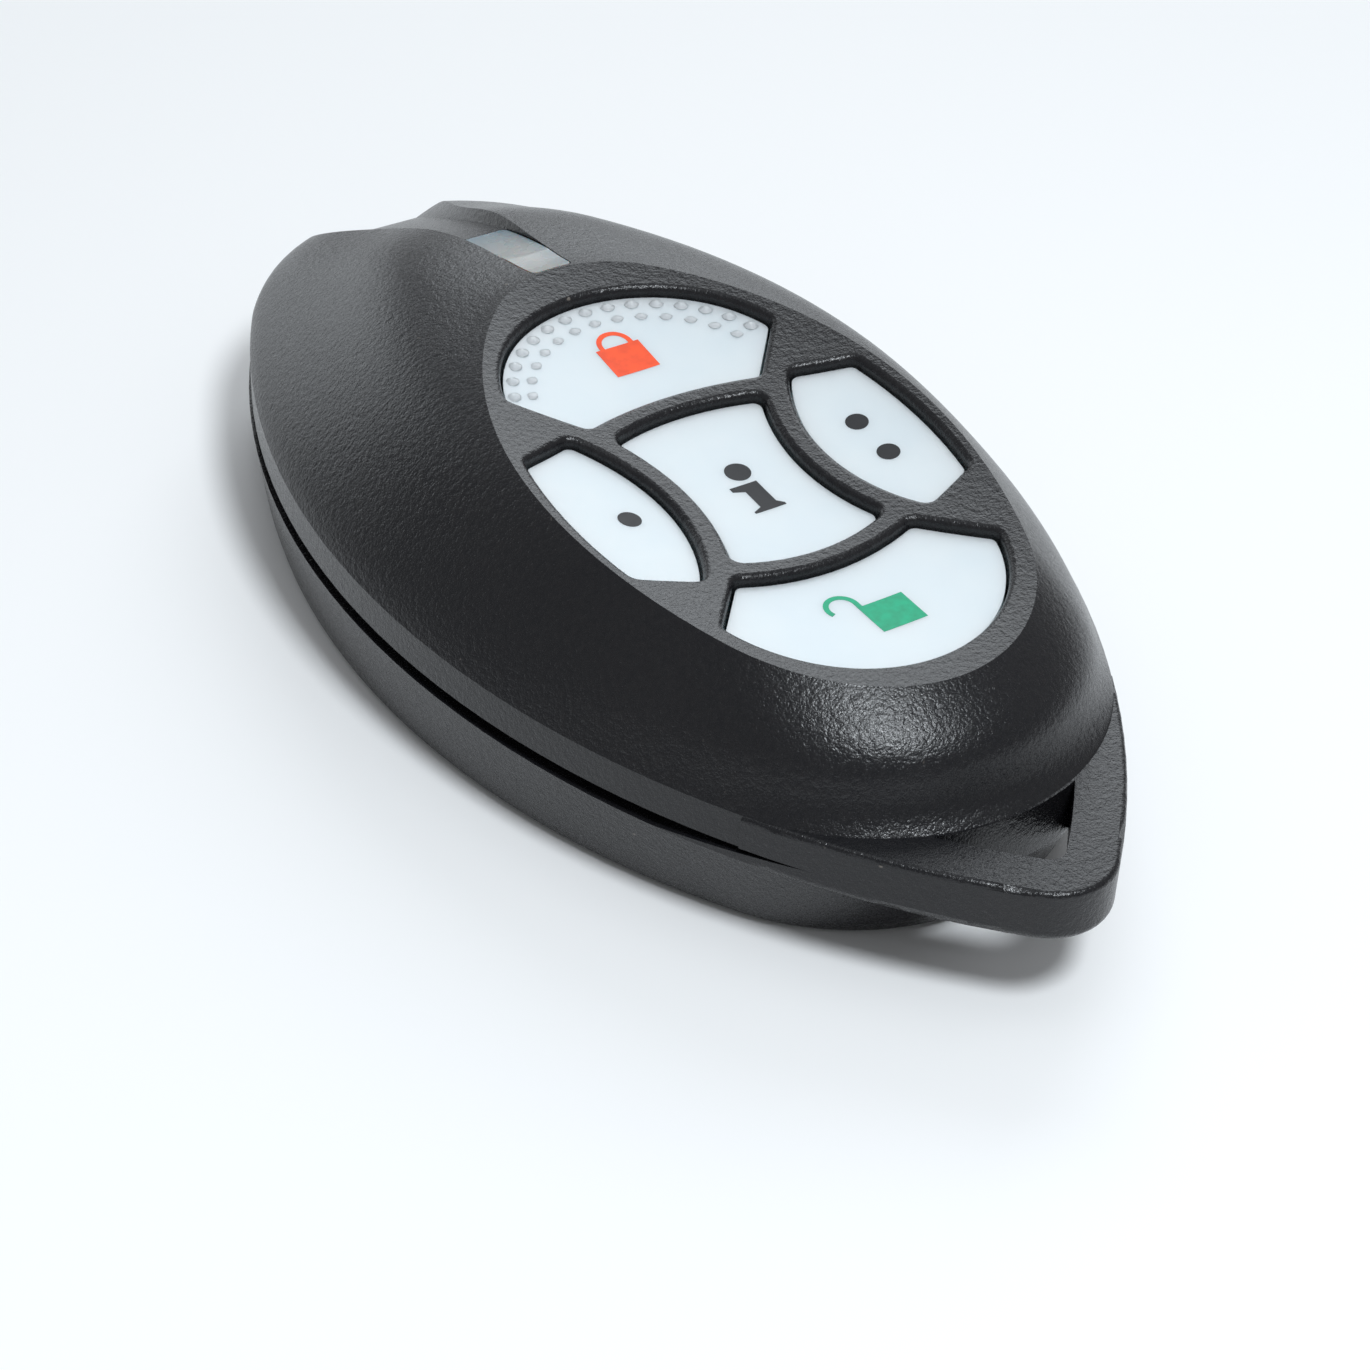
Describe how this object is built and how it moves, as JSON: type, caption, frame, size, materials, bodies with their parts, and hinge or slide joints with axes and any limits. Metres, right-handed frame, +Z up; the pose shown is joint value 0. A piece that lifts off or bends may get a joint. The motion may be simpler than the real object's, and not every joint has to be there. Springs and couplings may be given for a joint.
{
  "type": "alarm key fob",
  "caption": "Almond-shaped alarm remote control fob with a dished keypad of shaped push keys, a light guide window and a keyring loop at its pointed end.",
  "frame": {"origin": "under the middle of the fob's length and width, on the flat rest face of the underside", "axes": "+Y from the keyring loop to the light guide, +Z up out of the keypad, +X to the right with the loop nearest"},
  "size_m": [0.0364, 0.0714, 0.0163],
  "materials": {
    "case_plastic": "fine spark-eroded grain",
    "guide_plastic": "translucent, satin",
    "key_plastic": "milky translucent, smooth satin",
    "silicone": "matte",
    "carbon_rubber": "matte",
    "board": "solder resist",
    "copper": "gold flash",
    "cell_steel": "satin",
    "spring_steel": "bright",
    "chip_plastic": "moulded",
    "led_plastic": "clear epoxy",
    "ceramic": "ceramic",
    "screw_steel": "zinc plated"
  },
  "bodies": {
    "root": {"antenna": "copper", "battery_clip": "spring_steel", "battery_contact": "spring_steel", "bottom_shell": "case_plastic", "case_screw": "screw_steel", "chip_capacitors": "ceramic", "chip_resistors": "chip_plastic", "circuit_board": "board", "coin_cell": "cell_steel", "contact_pads": "copper", "crystal": "cell_steel", "keypad_mat": "silicone", "light_guide": "guide_plastic", "microcontroller": "chip_plastic", "radio_chip": "chip_plastic", "status_led": "led_plastic", "top_shell": "case_plastic"},
    "lock_button": {"lock_key": "key_plastic", "lock_contact_pill": "carbon_rubber"},
    "info_button": {"info_key": "key_plastic", "info_contact_pill": "carbon_rubber"},
    "unlock_button": {"unlock_key": "key_plastic", "unlock_contact_pill": "carbon_rubber"},
    "one_dot_button": {"one_dot_key": "key_plastic", "one_dot_contact_pill": "carbon_rubber"},
    "two_dot_button": {"two_dot_key": "key_plastic", "two_dot_contact_pill": "carbon_rubber"}
  },
  "joints": [
    {"name": "lock_press", "type": "slide", "parent": "root", "child": "lock_button", "axis": [0, 0, -1], "range_m": [0, 0.0006], "stiffness_N_per_m": 2000},
    {"name": "info_press", "type": "slide", "parent": "root", "child": "info_button", "axis": [0, 0, -1], "range_m": [0, 0.0006], "stiffness_N_per_m": 2000},
    {"name": "unlock_press", "type": "slide", "parent": "root", "child": "unlock_button", "axis": [0, 0, -1], "range_m": [0, 0.0006], "stiffness_N_per_m": 2000},
    {"name": "one_dot_press", "type": "slide", "parent": "root", "child": "one_dot_button", "axis": [0, 0, -1], "range_m": [0, 0.0006], "stiffness_N_per_m": 2000},
    {"name": "two_dot_press", "type": "slide", "parent": "root", "child": "two_dot_button", "axis": [0, 0, -1], "range_m": [0, 0.0006], "stiffness_N_per_m": 2000}
  ]
}
